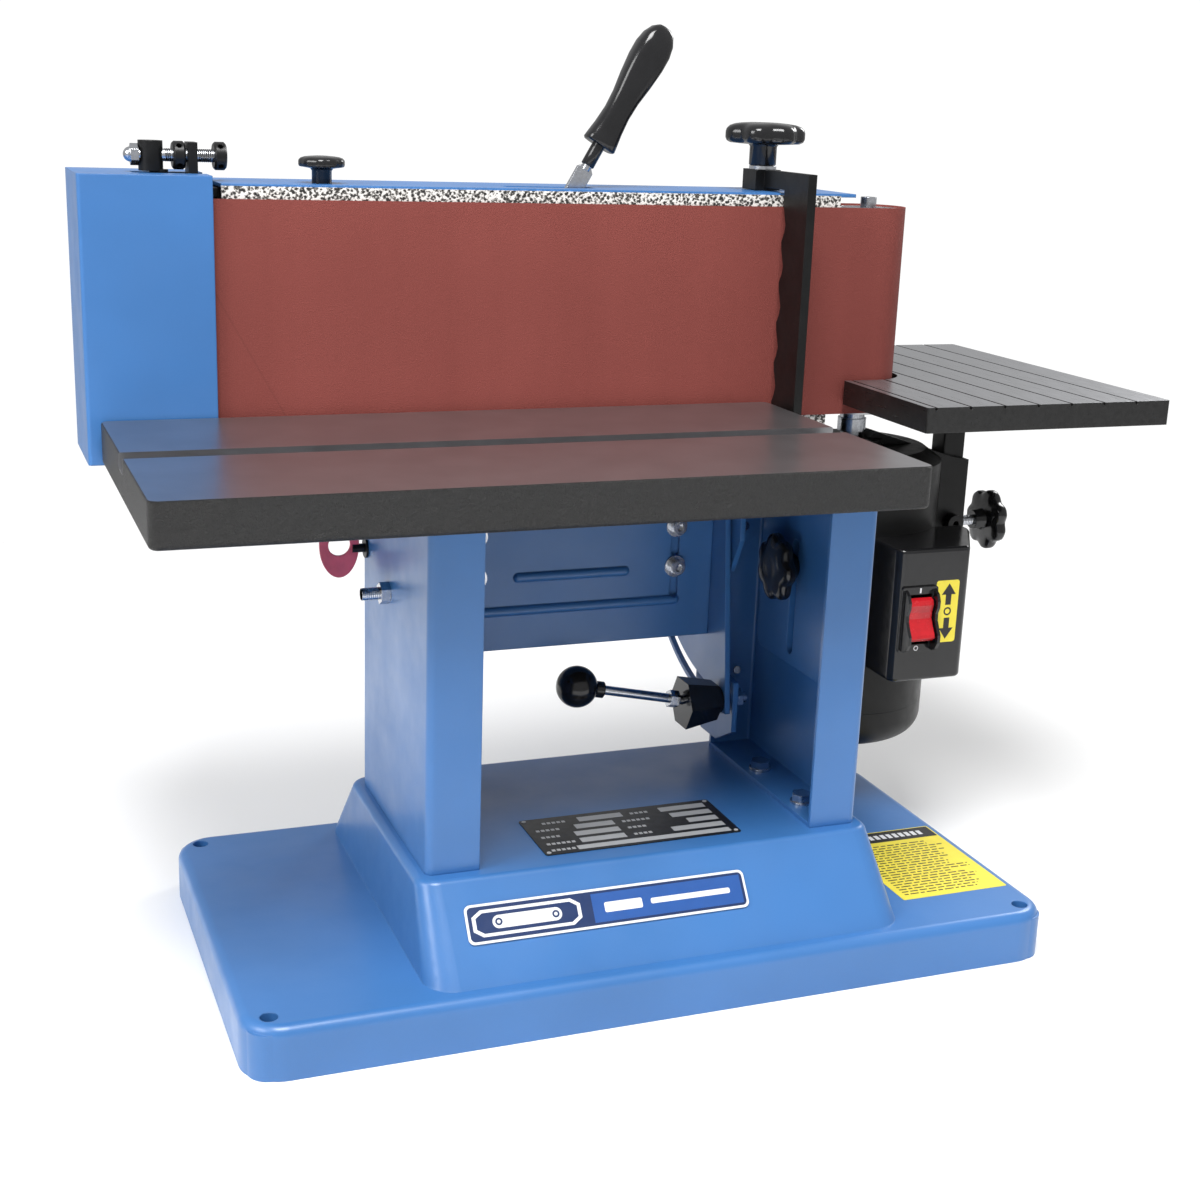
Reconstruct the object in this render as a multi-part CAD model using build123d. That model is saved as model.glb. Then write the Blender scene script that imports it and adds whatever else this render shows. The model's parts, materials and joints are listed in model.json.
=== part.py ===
from build123d import *
import math
import os

os.makedirs("parts", exist_ok=True)

# Benchtop edge sander, millimetres, +Z up.
# Origin: middle of the underside of the base.  +X runs along the belt toward
# the drive drum, +Y points from the operator's side to the back.

# ---------------------------------------------------------------- base
BASE_L = 556.0
BASE_W = 292.0
BASE_T = 35.0
BASE_CORNER_R = 26.0
BASE_EDGE_R = 7.0
BASE_WALL = 5.0
MOUNT_X = 261.0
MOUNT_Y = 130.0
MOUNT_D = 11.0
PLINTH_X0 = -164.0
PLINTH_X1 = 168.0
PLINTH_Y0 = -136.0
PLINTH_Y1 = 144.0
PLINTH_TOP_X = 160.0
PLINTH_TOP_Y = 92.0
PLINTH_TOP_Z = 90.0

# ------------------------------------------------------------- pillars
PILLAR_IN = 117.5
PILLAR_OUT = 152.5
PILLAR_HALF_Y = 83.0
PILLAR_TOP = 313.0
PILLAR_T = 3.0
FOOT_BOLT_X = 130.0
FOOT_BOLT_Y = (-46.0, 20.0)
FLANGE_BOLT_X = 136.0
EAR_BOLT_Z = (262.0, 296.0)
LOCK_BOLT_Z = (128.0, 150.0)

# ---------------------------------------------------------- main table
TABLE_X0 = -322.0
TABLE_X1 = 153.5
TABLE_Y0 = -143.5
TABLE_Y1 = 93.5
TABLE_TOP = 352.3
TABLE_T = 27.3
TABLE_SKIN = 9.0
SLOT_Y0 = -29.2
SLOT_W = 19.05
SLOT_D = 9.5
STUD_Y = 12.0
STUD_Z = 249.0
STUD_D = 8.0
LEG_SLOT_Z0 = 188.0
LEG_SLOT_Z1 = 264.0
LEG_X0 = 143.0
LEG_X1 = 149.0
LEG_Y0 = -40.0
LEG_Y1 = 64.0

# ------------------------------------------------- tilting head, pivot
PIVOT_Y = 52.0
PIVOT_Z = 290.0
PIVOT_D = 12.0
ARC_R = 149.0
ARC_SLOT_W = 11.0
ARC_RIM = 158.0
LOCK_ANGLE = -3.0
SIDE_X0 = 105.0
SIDE_X1 = 109.0
EAR_X0 = 111.5
EAR_X1 = 115.5
PIN_Y = 73.0
PIN_Z = 264.0
PIN_R = 3.0
TAB_X = -171.4
PANEL_Z0 = 184.0
PANEL_Z1 = 286.0
PANEL_SCREW_X = 75.5
PANEL_SCREW_Z = (238.0, 268.0)
TILT_LEAN = 78.0
TILT_REACH = 85.0

# ---------------------------------------------------------- belt loop
BELT_T = 1.0
DRUM_R = 26.95
LOOP_R = 28.0
DRIVE_X = 246.0
IDLER_X = -275.6
AXIS_Y = 128.0
BELT_Z0 = 340.1
BELT_Z1 = 492.5
COVER_TOP = 502.0
PLATEN_X0 = -215.0
PLATEN_X1 = 208.0
ROD_Z = 470.0
LEVER_X = -8.0
LEVER_LEAN = 30.0
TRACK_Z = 518.0
TRACK_POST_X = -280.5
STOP_X = 162.0
STOP_Y = 140.0
COVER_KNOB_X = -170.0
COVER_KNOB_Y = 125.0

# --------------------------------------------------------------- motor
MOTOR_R = 71.0
MOTOR_Z0 = 82.0
MOTOR_Z1 = 298.0
SHAFT_R = 8.0
SWITCH_X = 249.0
SWITCH_Z = 201.0

# ----------------------------------------------------------- end table
AUX_X0 = 219.0
AUX_X1 = 423.0
AUX_Y0 = -24.0
AUX_Y1 = 272.0
AUX_TOP = 366.0
AUX_T = 18.0
POST_X = 335.0
POST_Y = 128.0
POST_W = 19.0
SOCKET_W = 25.0
SOCKET_Z0 = 233.0
AUX_SCREW_Z = 244.0


def block(x0, x1, y0, y1, z0, z1):
    return Pos((x0 + x1) / 2, (y0 + y1) / 2, (z0 + z1) / 2) * Box(x1 - x0, y1 - y0, z1 - z0)


def rod_x(r, x0, x1, y, z):
    return Pos((x0 + x1) / 2, y, z) * Rot(0, 90, 0) * Cylinder(r, x1 - x0)


def rod_y(r, y0, y1, x, z):
    return Pos(x, (y0 + y1) / 2, z) * Rot(90, 0, 0) * Cylinder(r, y1 - y0)


def rod_z(r, z0, z1, x, y):
    return Pos(x, y, (z0 + z1) / 2) * Cylinder(r, z1 - z0)


def hex_z(flats, z0, z1, x, y):
    return Pos(x, y, z0) * extrude(RegularPolygon(flats / 2, 6, major_radius=False), z1 - z0)


def hex_x(flats, x0, x1, y, z):
    return Pos(x0, y, z) * Rot(0, 90, 0) * extrude(RegularPolygon(flats / 2, 6, major_radius=False), x1 - x0)


def hex_y(flats, y0, y1, x, z):
    return Pos(x, y1, z) * Rot(90, 0, 0) * extrude(RegularPolygon(flats / 2, 6, major_radius=False), y1 - y0)


def mirror_x(shape):
    return mirror(shape, about=Plane.YZ)


def plate_yz(points, x0, x1):
    face = make_face(Polyline(*[(y, z) for y, z in points], close=True))
    return extrude(Plane.YZ.offset(x0) * face, x1 - x0)


def plate_xz(points, y0, y1):
    face = make_face(Polyline(*[(x, z) for x, z in points], close=True))
    return extrude(Plane.XZ.offset(-y1) * face, y1 - y0)


def polar(radius, degrees):
    """Point on the tilt arc: 0 is straight below the pivot, 90 straight behind it."""
    a = math.radians(degrees)
    return (PIVOT_Y + radius * math.sin(a), PIVOT_Z - radius * math.cos(a))


def star_knob(radius, thick, hub_r, hub_len, bore_r, bore_len, lobes=7):
    """Star grip on +Z: hub from 0 up to hub_len, head above it, blind bore from below."""
    head = Pos(0, 0, hub_len + thick / 2) * Cylinder(radius, thick)
    for i in range(lobes):
        a = 2 * math.pi * i / lobes
        d = radius * 1.12
        scallop = Cylinder(radius * 0.27, thick + 2)
        head -= Pos(d * math.cos(a), d * math.sin(a), hub_len + thick / 2) * scallop
    head = fillet(head.edges().group_by(Axis.Z)[-1], min(2.5, thick / 4))
    knob = head + Pos(0, 0, hub_len / 2) * Cylinder(hub_r, hub_len)
    if bore_r > 0:
        knob -= Pos(0, 0, bore_len / 2) * Cylinder(bore_r, bore_len)
    return knob


def save(shape, name):
    shape.label = name
    export_step(shape, os.path.join("parts", name + ".step"))


# ================================================================ base
def base_casting():
    slab = extrude(RectangleRounded(BASE_L, BASE_W, BASE_CORNER_R), BASE_T)
    slab = fillet(slab.edges().group_by(Axis.Z)[-1], BASE_EDGE_R)
    cx = (PLINTH_X0 + PLINTH_X1) / 2
    cy = (PLINTH_Y0 + PLINTH_Y1) / 2
    foot = Pos(cx, cy, BASE_T - 2) * RectangleRounded(PLINTH_X1 - PLINTH_X0, PLINTH_Y1 - PLINTH_Y0, 20)
    top = Pos(0, 0, PLINTH_TOP_Z) * RectangleRounded(2 * PLINTH_TOP_X, 2 * PLINTH_TOP_Y, 14)
    plinth = loft([foot, top])
    plinth = fillet(plinth.edges().group_by(Axis.Z)[-1], 5)
    body = slab + plinth
    w = BASE_WALL
    body -= Pos(0, 0, -1) * extrude(
        RectangleRounded(BASE_L - 2 * w, BASE_W - 2 * w, BASE_CORNER_R - w), BASE_T - w - 2)
    foot_in = Pos(cx, cy, BASE_T - w - 4) * RectangleRounded(
        PLINTH_X1 - PLINTH_X0 - 24, PLINTH_Y1 - PLINTH_Y0 - 24, 16)
    top_in = Pos(0, 0, PLINTH_TOP_Z - 6) * RectangleRounded(
        2 * PLINTH_TOP_X - 16, 2 * PLINTH_TOP_Y - 16, 10)
    body -= loft([foot_in, top_in])
    inside = block(-BASE_L / 2 + 1, BASE_L / 2 - 1, -BASE_W / 2 + 1, BASE_W / 2 - 1, 0, BASE_T)
    for sx in (-1, 1):
        for sy in (-1, 1):
            body += rod_z(14, 0, BASE_T - w, sx * MOUNT_X, sy * MOUNT_Y) & inside
            body -= rod_z(MOUNT_D / 2, -1, BASE_T + 1, sx * MOUNT_X, sy * MOUNT_Y)
        for y in FOOT_BOLT_Y:
            body -= rod_z(4.25, PLINTH_TOP_Z - 12, PLINTH_TOP_Z + 1, sx * FOOT_BOLT_X, y)
    for x in (-200.0, 205.0):
        body += block(x - 3, x + 3, -BASE_W / 2 + 4, BASE_W / 2 - 4, 8, BASE_T - w)
    return body


def pillar():
    """Right-hand channel: web outside, flanges front and back, bolted foot plate."""
    h = PILLAR_HALF_Y
    z0 = PLINTH_TOP_Z
    outer = block(PILLAR_IN, PILLAR_OUT, -h, h, z0, PILLAR_TOP)
    outer = fillet(outer.edges().filter_by(Axis.Z).group_by(Axis.X)[-1], 5)
    t = PILLAR_T
    inner = block(PILLAR_IN - 1, PILLAR_OUT - t, -h + t, h - t, z0 + t, PILLAR_TOP + 1)
    inner = fillet(inner.edges().filter_by(Axis.Z).group_by(Axis.X)[-1], 2)
    p = outer - inner
    p -= rod_x(STUD_D / 2 + 0.2, PILLAR_OUT - 5, PILLAR_OUT + 1, STUD_Y, STUD_Z)
    for y in FOOT_BOLT_Y:
        p -= rod_z(4.25, z0 - 1, z0 + 5, FOOT_BOLT_X, y)
    for z in EAR_BOLT_Z + LOCK_BOLT_Z:
        p -= rod_y(3.25, h - 5, h + 1, FLANGE_BOLT_X, z)
    return p


def pillar_left():
    p = mirror_x(pillar())
    return p - rod_x(5.0, -PILLAR_OUT - 1, -PILLAR_OUT + 5, PIN_Y, PIN_Z)


def foot_bolts():
    solids = []
    z = PLINTH_TOP_Z + PILLAR_T
    for x in (-FOOT_BOLT_X, FOOT_BOLT_X):
        for y in FOOT_BOLT_Y:
            b = hex_z(13, z + 1.6, z + 6.9, x, y) + rod_z(8, z, z + 1.6, x, y)
            b += rod_z(4, z - 22, z + 2, x, y)
            solids.append(b)
    return Compound(children=solids)


def ear_plate():
    """Right-hand trunnion plate, folded behind the back flange of the channel."""
    pts = [(38, 262), (52, 236), (83.3, 236), (86.3, 236), (86.3, 306), (40, 306), (38, 300)]
    p = plate_yz(pts, EAR_X0, EAR_X1)
    p += block(EAR_X0, 149, 83.3, 86.3, 250, 306)
    p -= rod_x(PIVOT_D / 2, EAR_X0 - 1, EAR_X1 + 1, PIVOT_Y, PIVOT_Z)
    for z in EAR_BOLT_Z:
        p -= rod_y(3.25, 82, 88, FLANGE_BOLT_X, z)
    return p


def ear_plate_left():
    p = mirror_x(ear_plate())
    return p - rod_x(PIN_R + 0.3, -EAR_X1 - 1, -EAR_X0 + 1, PIN_Y, PIN_Z)


def lock_plate():
    """Plate behind the right channel that carries the tilt lock stud."""
    y, z = polar(ARC_R, LOCK_ANGLE)
    pts = [(34, 118), (60, 104), (86.3, 104), (100, 112), (100, 152), (86.3, 160), (60, 160), (34, 156)]
    p = plate_yz(pts, EAR_X0, EAR_X1)
    p += block(EAR_X0, 149, 83.3, 86.3, 118, 158)
    p -= rod_x(STUD_D / 2 + 0.2, EAR_X0 - 1, EAR_X1 + 1, y, z)
    for bolt_z in LOCK_BOLT_Z:
        p -= rod_y(3.25, 82, 88, FLANGE_BOLT_X, bolt_z)
    return p


def plate_screws():
    solids = []
    for x, heights in ((FLANGE_BOLT_X, EAR_BOLT_Z + LOCK_BOLT_Z), (-FLANGE_BOLT_X, EAR_BOLT_Z)):
        for z in heights:
            solids.append(hex_y(10, 86.3, 90.3, x, z) + rod_y(3, 79.4, 87, x, z))
    return Compound(children=solids)


def clamp_studs():
    """M8 studs: one through each web for the table, one for the tilt lock, with their nuts."""
    y, z = polar(ARC_R, LOCK_ANGLE)
    table_stud = rod_x(STUD_D / 2, 126, 171, STUD_Y, STUD_Z)
    table_stud += hex_x(13, PILLAR_OUT, PILLAR_OUT + 6.5, STUD_Y, STUD_Z)
    lock_stud = rod_x(STUD_D / 2, 84, 126, y, z) + hex_x(13, EAR_X1, EAR_X1 + 6.5, y, z)
    return Compound(children=[table_stud, mirror_x(table_stud), lock_stud])


def pivot_bolts():
    solids = []
    for sx in (-1, 1):
        b = rod_x(PIVOT_D / 2, 101, 124, PIVOT_Y, PIVOT_Z) + hex_x(18, 95, 101.2, PIVOT_Y, PIVOT_Z)
        b += rod_x(9, 109.3, EAR_X0, PIVOT_Y, PIVOT_Z)
        b += hex_x(17, EAR_X1, EAR_X1 + 7, PIVOT_Y, PIVOT_Z)
        solids.append(b if sx > 0 else mirror_x(b))
    return Compound(children=solids)


def pin_housing():
    """Flanged bush of the tilt index pin, in the web of the left channel."""
    b = rod_x(5, -PILLAR_OUT - 1.5, -PILLAR_OUT + 6, PIN_Y, PIN_Z)
    b += rod_x(7, -PILLAR_OUT - 1.5, -PILLAR_OUT, PIN_Y, PIN_Z)
    return b - rod_x(PIN_R + 0.06, -161, -140, PIN_Y, PIN_Z)


def pull_tab():
    """Oval pull tab of the index pin, 27 by 45, with a finger hole."""
    outline = Ellipse(13.5, 22.7) - Circle(7.6)
    return Pos(TAB_X, PIN_Y + 1.1, PIN_Z + 3) * Rot(90, 0, 0) * extrude(outline, 2.2)


def index_pin():
    """Spring pin parked just clear of the quadrant, its forked end holding the tab."""
    return rod_x(PIN_R, TAB_X + 8.8, -109.4, PIN_Y, PIN_Z) - pull_tab()


# ========================================================= main table
def main_table():
    z0 = TABLE_TOP - TABLE_T
    t = block(TABLE_X0, TABLE_X1, TABLE_Y0, TABLE_Y1, z0, TABLE_TOP)
    t = fillet(t.edges().filter_by(Axis.Z), 6)
    t = fillet(t.edges().group_by(Axis.Z)[0], 3)
    t = chamfer(t.edges().group_by(Axis.Z)[-1], 0.8)
    t -= block(TABLE_X0 - 1, TABLE_X1 + 1, SLOT_Y0, SLOT_Y0 + SLOT_W, TABLE_TOP - SLOT_D, TABLE_TOP + 1)
    cols = [(-313, -245), (-239, -171), (-165, -153), (-112, -44), (-38, 30), (36, 112)]
    rows = [(-135, -88), (-82, -38), (-2, 42), (48, 85)]
    for x0, x1 in cols:
        for y0, y1 in rows:
            pocket = block(x0, x1, y0, y1, z0 - 1, TABLE_TOP - TABLE_SKIN)
            t -= fillet(pocket.edges().filter_by(Axis.Z), 4)
    return t


def table_leg():
    """Slotted leg inside the right channel, its foot screwed under the table."""
    z_top = TABLE_TOP - TABLE_T
    leg = block(LEG_X0, LEG_X1, LEG_Y0, LEG_Y1, 176, z_top)
    leg = fillet(leg.edges().filter_by(Axis.X).group_by(Axis.Z)[0], 10)
    leg += block(119.5, LEG_X0 + 3, LEG_Y0, LEG_Y1, z_top - 6, z_top)
    w = STUD_D / 2 + 0.6
    leg -= block(LEG_X0 - 1, LEG_X1 + 1, STUD_Y - w, STUD_Y + w, LEG_SLOT_Z0, LEG_SLOT_Z1)
    leg -= rod_x(w, LEG_X0 - 1, LEG_X1 + 1, STUD_Y, LEG_SLOT_Z0)
    leg -= rod_x(w, LEG_X0 - 1, LEG_X1 + 1, STUD_Y, LEG_SLOT_Z1)
    for y in (LEG_Y0 + 12, LEG_Y1 - 14):
        leg += rod_z(5, z_top - 10, z_top - 5, 132, y) - hex_z(5, z_top - 11, z_top - 7.5, 132, y)
    return leg


def table_knob():
    k = star_knob(24.5, 11, 9, 9, STUD_D / 2 + 0.06, 17.5)
    return Pos(142.6, STUD_Y, STUD_Z) * Rot(0, -90, 0) * k


# =============================================================== head
def side_plate():
    """Right-hand quadrant: pivot eye, arc slot, upper tab and inner flange."""
    eye = rod_x(13, SIDE_X0, SIDE_X1, PIVOT_Y, PIVOT_Z)
    pts = [(PIVOT_Y, PIVOT_Z)]
    pts += [polar(ARC_RIM, a) for a in range(-7, 94, 2)]
    sector = plate_yz(pts, SIDE_X0, SIDE_X1)
    top = plate_yz([(52, 303), (97, 303), (105.2, 311), (105.2, 335.8), (148, 335.8), (160, 318),
                    (170, 303), (190, 290), (120, 250), (52, 270)], SIDE_X0, SIDE_X1)
    p = sector + eye + top
    p += block(84, SIDE_X0 + 1, 106, 148, 332.8, 335.8)
    p += block(62, SIDE_X0 + 1, 73.2, 76.2, 210, 285)
    steps = [LOCK_ANGLE + 2 * i for i in range(46)]
    slot_pts = [polar(ARC_R + ARC_SLOT_W / 2, a) for a in steps]
    slot_pts += [polar(ARC_R - ARC_SLOT_W / 2, a) for a in reversed(steps)]
    p -= plate_yz(slot_pts, SIDE_X0 - 1, SIDE_X1 + 1)
    for a in (LOCK_ANGLE, LOCK_ANGLE + 90):
        y, z = polar(ARC_R, a)
        p -= rod_x(ARC_SLOT_W / 2, SIDE_X0 - 1, SIDE_X1 + 1, y, z)
    p -= rod_x(PIVOT_D / 2 + 0.06, SIDE_X0 - 1, SIDE_X1 + 1, PIVOT_Y, PIVOT_Z)
    for z in PANEL_SCREW_Z:
        p -= rod_y(3.2, 72, 78, PANEL_SCREW_X, z)
    return p


def side_plate_left():
    """Same quadrant with the index holes at 0, 45 and 90 degrees of tilt."""
    p = mirror_x(side_plate())
    r = math.hypot(PIN_Y - PIVOT_Y, PIN_Z - PIVOT_Z)
    a0 = math.degrees(math.atan2(PIN_Y - PIVOT_Y, PIVOT_Z - PIN_Z))
    for tilt in (0, 45, 90):
        y, z = polar(r, a0 + tilt)
        p -= rod_x(PIN_R + 0.3, -SIDE_X1 - 1, -SIDE_X0 + 1, y, z)
    return p


def cross_panel():
    """Pressed front panel between the quadrants: two round-topped ribs, lower lip."""
    p = block(-104.8, 104.8, 70, 73, PANEL_Z0, PANEL_Z1)
    p += block(-104.8, 104.8, 72, 80, PANEL_Z0, PANEL_Z0 + 3)
    for x0, x1, z in ((-80.0, 80.0, 212.5), (-48.0, 40.0, 236.5)):
        p += rod_x(3.6, x0 + 3.6, x1 - 3.6, 70.6, z)
        p += Pos(x0 + 3.6, 70.6, z) * Sphere(3.6) + Pos(x1 - 3.6, 70.6, z) * Sphere(3.6)
    p -= block(-110, 110, 73, 76, 200, 250)
    for x in (-PANEL_SCREW_X, PANEL_SCREW_X):
        for z in PANEL_SCREW_Z:
            p -= block(x - 3.3, x + 3.3, 66, 75, z - 20, z)
            p -= rod_y(3.3, 66, 75, x, z) + rod_y(3.3, 66, 75, x, z - 20)
    return p


def panel_screws():
    solids = []
    for x in (-PANEL_SCREW_X, PANEL_SCREW_X):
        for z in PANEL_SCREW_Z:
            s = rod_y(8, 68.4, 70, x, z) + rod_y(5.2, 62.5, 69, x, z) + rod_y(3, 69, 82, x, z)
            solids.append(s - hex_y(5, 61, 65.5, x, z))
    return Compound(children=solids)


def platen_frame():
    """C-shaped frame inside the belt loop that backs up the pad."""
    f = block(PLATEN_X0, PLATEN_X1, 104.5, 108.5, 336, 499.4)
    f += block(PLATEN_X0, PLATEN_X1, 106, 150, 495.4, 499.4)
    f += block(PLATEN_X0, PLATEN_X1, 106, 150, 336, 340)
    for x in (-170.0, -60.0):
        f += block(x - 3, x + 3, 108, 146, 338, 482)
        f -= rod_x(6.06, x - 4, x + 4, AXIS_Y, ROD_Z)
    f += block(58, 62, 108, 146, 338, 440)
    f -= block(-42, 24, 120, 136, 494, 500)
    f -= block(153, 203, 135.6, 144.4, 494, 500)
    f -= rod_z(3.2, 494, 500, COVER_KNOB_X, COVER_KNOB_Y)
    return f + rod_y(4, 108, 147, LEVER_X, ROD_Z) + rod_y(7, 108, 112, LEVER_X, ROD_Z)


def graphite_pad():
    return block(-240, PLATEN_X1, 101.5, 104.5, 330, 500.5)


def abrasive_belt():
    length = DRIVE_X - IDLER_X
    cx = (DRIVE_X + IDLER_X) / 2
    outer = SlotCenterToCenter(length, 2 * LOOP_R)
    inner = SlotCenterToCenter(length, 2 * (LOOP_R - BELT_T))
    return Pos(cx, AXIS_Y, BELT_Z0) * extrude(outer - inner, BELT_Z1 - BELT_Z0)


def end_guard():
    """Open-sided box round the idler end of the belt."""
    t = 1.5
    g = block(-330, -246.5, 95, 175, 323, 507)
    g = fillet(g.edges().filter_by(Axis.Z).group_by(Axis.X)[0], 2.5)
    g -= block(-330 + t, -245, 95 + t, 175 - t, 322, 507 - t)
    for y0, y1 in ((95 + t, 100), (160, 175 - t)):
        g += block(-330 + t, -246.5, y0, y1, 323, 324.5)
    g -= block(-293, -245, 119.2, 136.8, 504, 508)
    return g


def top_cover():
    """Folded cover: top strip over the loop and a skirt behind the rear run."""
    c = block(-240, 222, 104.5, 175, 499.5, COVER_TOP)
    c += block(-246.3, 218.3, 173, 175, 330, COVER_TOP)
    c += block(-246.3, -240, 140, 175, 499.5, COVER_TOP)
    c -= block(-42, 24, 121, 135, 498, 503)
    c -= block(153, 203, 135.6, 144.4, 498, 503)
    c -= rod_z(3.2, 498, 503, COVER_KNOB_X, COVER_KNOB_Y)
    return c


def motor_mount():
    """Cast end bell, riser to the platen frame, arm and post socket."""
    bell = rod_z(MOTOR_R, MOTOR_Z1, 303, DRIVE_X, AXIS_Y)
    dome = Pos(DRIVE_X, AXIS_Y, 303) * extrude(Circle(MOTOR_R), 9, taper=55)
    m = bell + dome
    m += rod_z(24, 303, 317, DRIVE_X, AXIS_Y)
    m += block(160, 246, 108, 148, 311, 317)
    m += block(160, 205, 110, 146, 311, 335.8)
    half = SOCKET_W / 2
    arm_pts = [(246, 311), (262, 322), (332, 300), (POST_X + half, 297), (POST_X + half, 286),
               (POST_X - half, 286), (319, 298.2), (300, 304)]
    m += plate_xz(arm_pts, POST_Y - half, POST_Y + half)
    m += block(POST_X - half, POST_X + half, POST_Y - half, POST_Y + half, SOCKET_Z0, 296)
    m += rod_y(7, 106, 117, POST_X, 247)
    bore = POST_W / 2 + 0.3
    m -= block(POST_X - bore, POST_X + bore, POST_Y - bore, POST_Y + bore, SOCKET_Z0 - 1, 305)
    m -= rod_z(16, 302.2, 312, DRIVE_X, AXIS_Y)
    m -= rod_z(10, 297, 318, DRIVE_X, AXIS_Y)
    m -= rod_z(62, 297, 300.5, DRIVE_X, AXIS_Y) - rod_z(22, 297, 300.5, DRIVE_X, AXIS_Y)
    m -= rod_x(4.06, POST_X + 8, POST_X + 16, POST_Y, AUX_SCREW_Z)
    return m - rod_y(2.5, 104, 113, POST_X, 247)


def motor_shell():
    """Rolled steel shell with the lower bearing spider."""
    s = rod_z(MOTOR_R, 112, MOTOR_Z1, DRIVE_X, AXIS_Y)
    s -= rod_z(MOTOR_R - 3, 111, MOTOR_Z1 + 1, DRIVE_X, AXIS_Y)
    spider = rod_z(MOTOR_R - 2, 112, 118, DRIVE_X, AXIS_Y)
    spider += rod_z(20, 112, 126, DRIVE_X, AXIS_Y)
    for i in range(6):
        a = 2 * math.pi * i / 6
        spider -= rod_z(11, 111, 119, DRIVE_X + 45 * math.cos(a), AXIS_Y + 45 * math.sin(a))
    spider -= rod_z(16, 113.5, 127, DRIVE_X, AXIS_Y)
    spider -= rod_z(9, 111, 127, DRIVE_X, AXIS_Y)
    return s + spider


def motor_end_cover():
    c = rod_z(MOTOR_R, MOTOR_Z0, 112, DRIVE_X, AXIS_Y)
    c = fillet(c.edges().group_by(Axis.Z)[0], 18)
    inner = rod_z(MOTOR_R - 3, MOTOR_Z0 + 3, 113, DRIVE_X, AXIS_Y)
    inner = fillet(inner.edges().group_by(Axis.Z)[0], 15)
    c -= inner
    for ring, count in ((18, 6), (34, 12)):
        for i in range(count):
            a = 2 * math.pi * i / count
            c -= rod_z(3, 80, 90, DRIVE_X + ring * math.cos(a), AXIS_Y + ring * math.sin(a))
    return c


def stator_core():
    return rod_z(67.9, 150, 250, DRIVE_X, AXIS_Y) - rod_z(38.5, 149, 251, DRIVE_X, AXIS_Y)


def stator_windings():
    solids = []
    for z0, z1 in ((134, 150), (250, 266)):
        ring = rod_z(60, z0, z1, DRIVE_X, AXIS_Y) - rod_z(42, z0 - 1, z1 + 1, DRIVE_X, AXIS_Y)
        solids.append(fillet(ring.edges().filter_by(GeomType.CIRCLE), 4))
    return Compound(children=solids)


def motor_bearings():
    solids = []
    for z0 in (113.5, 302.2):
        z1 = z0 + 9
        b = rod_z(15.95, z0, z1, DRIVE_X, AXIS_Y) - rod_z(SHAFT_R + 0.05, z0 - 1, z1 + 1, DRIVE_X, AXIS_Y)
        b -= rod_z(13.2, z1 - 0.8, z1 + 1, DRIVE_X, AXIS_Y) - rod_z(10.4, z1 - 0.8, z1 + 1, DRIVE_X, AXIS_Y)
        solids.append(b)
    return Compound(children=solids)


def switch_box():
    """Box on the front of the motor, open at the back, window for the rocker."""
    outline = [(231, 15), (290, 15), (319, 62), (319, 76), (223, 76), (231, 62)]
    b = Pos(0, 0, 152) * extrude(make_face(Polyline(*outline, close=True)), 102)
    b = fillet(b.edges().filter_by(Axis.Z).group_by(Axis.Y)[0], 7)
    for end in (-1, 0):
        b = fillet(b.edges().group_by(Axis.Z)[end].group_by(Axis.Y)[0], 3)
    inline = [(234, 18), (287.5, 18), (316, 63), (316, 80), (226, 80), (234, 63)]
    hollow = Pos(0, 0, 155) * extrude(make_face(Polyline(*inline, close=True)), 96)
    b -= fillet(hollow.edges().filter_by(Axis.Z).group_by(Axis.Y)[0], 4.5)
    b -= rod_z(MOTOR_R + 0.05, 140, 260, DRIVE_X, AXIS_Y)
    b -= block(SWITCH_X - 13, SWITCH_X + 13, 10, 20, SWITCH_Z - 21.5, SWITCH_Z + 21.5)
    b += rod_z(8, 148, 153, 300, 52) + rod_z(6.5, 142, 149, 300, 52)
    return b - rod_z(3.2, 141, 159, 300, 52)


def switch_bezel():
    """Plate and well of the switch with a wavy guard cheek on each side."""
    x, z = SWITCH_X, SWITCH_Z
    bezel = block(x - 15, x + 15, 12.6, 15, z - 25, z + 25)
    bezel = fillet(bezel.edges().filter_by(Axis.Y), 2)
    bezel += block(x - 12.8, x + 12.8, 14, 34, z - 21.2, z + 21.2)
    cheek = [(14, z - 23), (9, z - 23.5), (4.5, z - 21), (1.5, z - 16), (1.5, z - 10), (4.5, z - 5),
             (7, z), (7.4, z + 5), (5.4, z + 10), (5.2, z + 15), (7.5, z + 20), (12, z + 23), (14, z + 23)]
    for x0 in (x - 13.4, x + 11):
        bezel += plate_yz(cheek, x0, x0 + 2.4)
    return bezel - block(x - 10.5, x + 10.5, 10, 31, z - 19.2, z + 19.2)


def switch_rocker():
    """Two-lobed rocker, upper half pushed in."""
    z = SWITCH_Z
    pts = [(4.2, z - 10), (3.6, z - 12.5), (6.5, z - 15), (12, z - 16.2), (27, z - 9), (27, z + 9),
           (13.5, z + 16.6), (10, z + 15), (8.8, z + 11.5), (10.4, z + 6), (10.6, z + 1), (8, z - 4)]
    r = plate_yz(pts, SWITCH_X - 10, SWITCH_X + 10)
    return fillet(r.edges().filter_by(Axis.X), 0.6)


# ======================================================== drive train
def drive_drum():
    d = rod_z(DRUM_R, 338.5, 491, DRIVE_X, AXIS_Y)
    d -= rod_z(DRUM_R - 5, 347, 493, DRIVE_X, AXIS_Y) - rod_z(14, 347, 484, DRIVE_X, AXIS_Y)
    d += rod_z(DRUM_R - 4, 476, 484, DRIVE_X, AXIS_Y)
    return d - rod_z(SHAFT_R, 337, 495, DRIVE_X, AXIS_Y)


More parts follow.
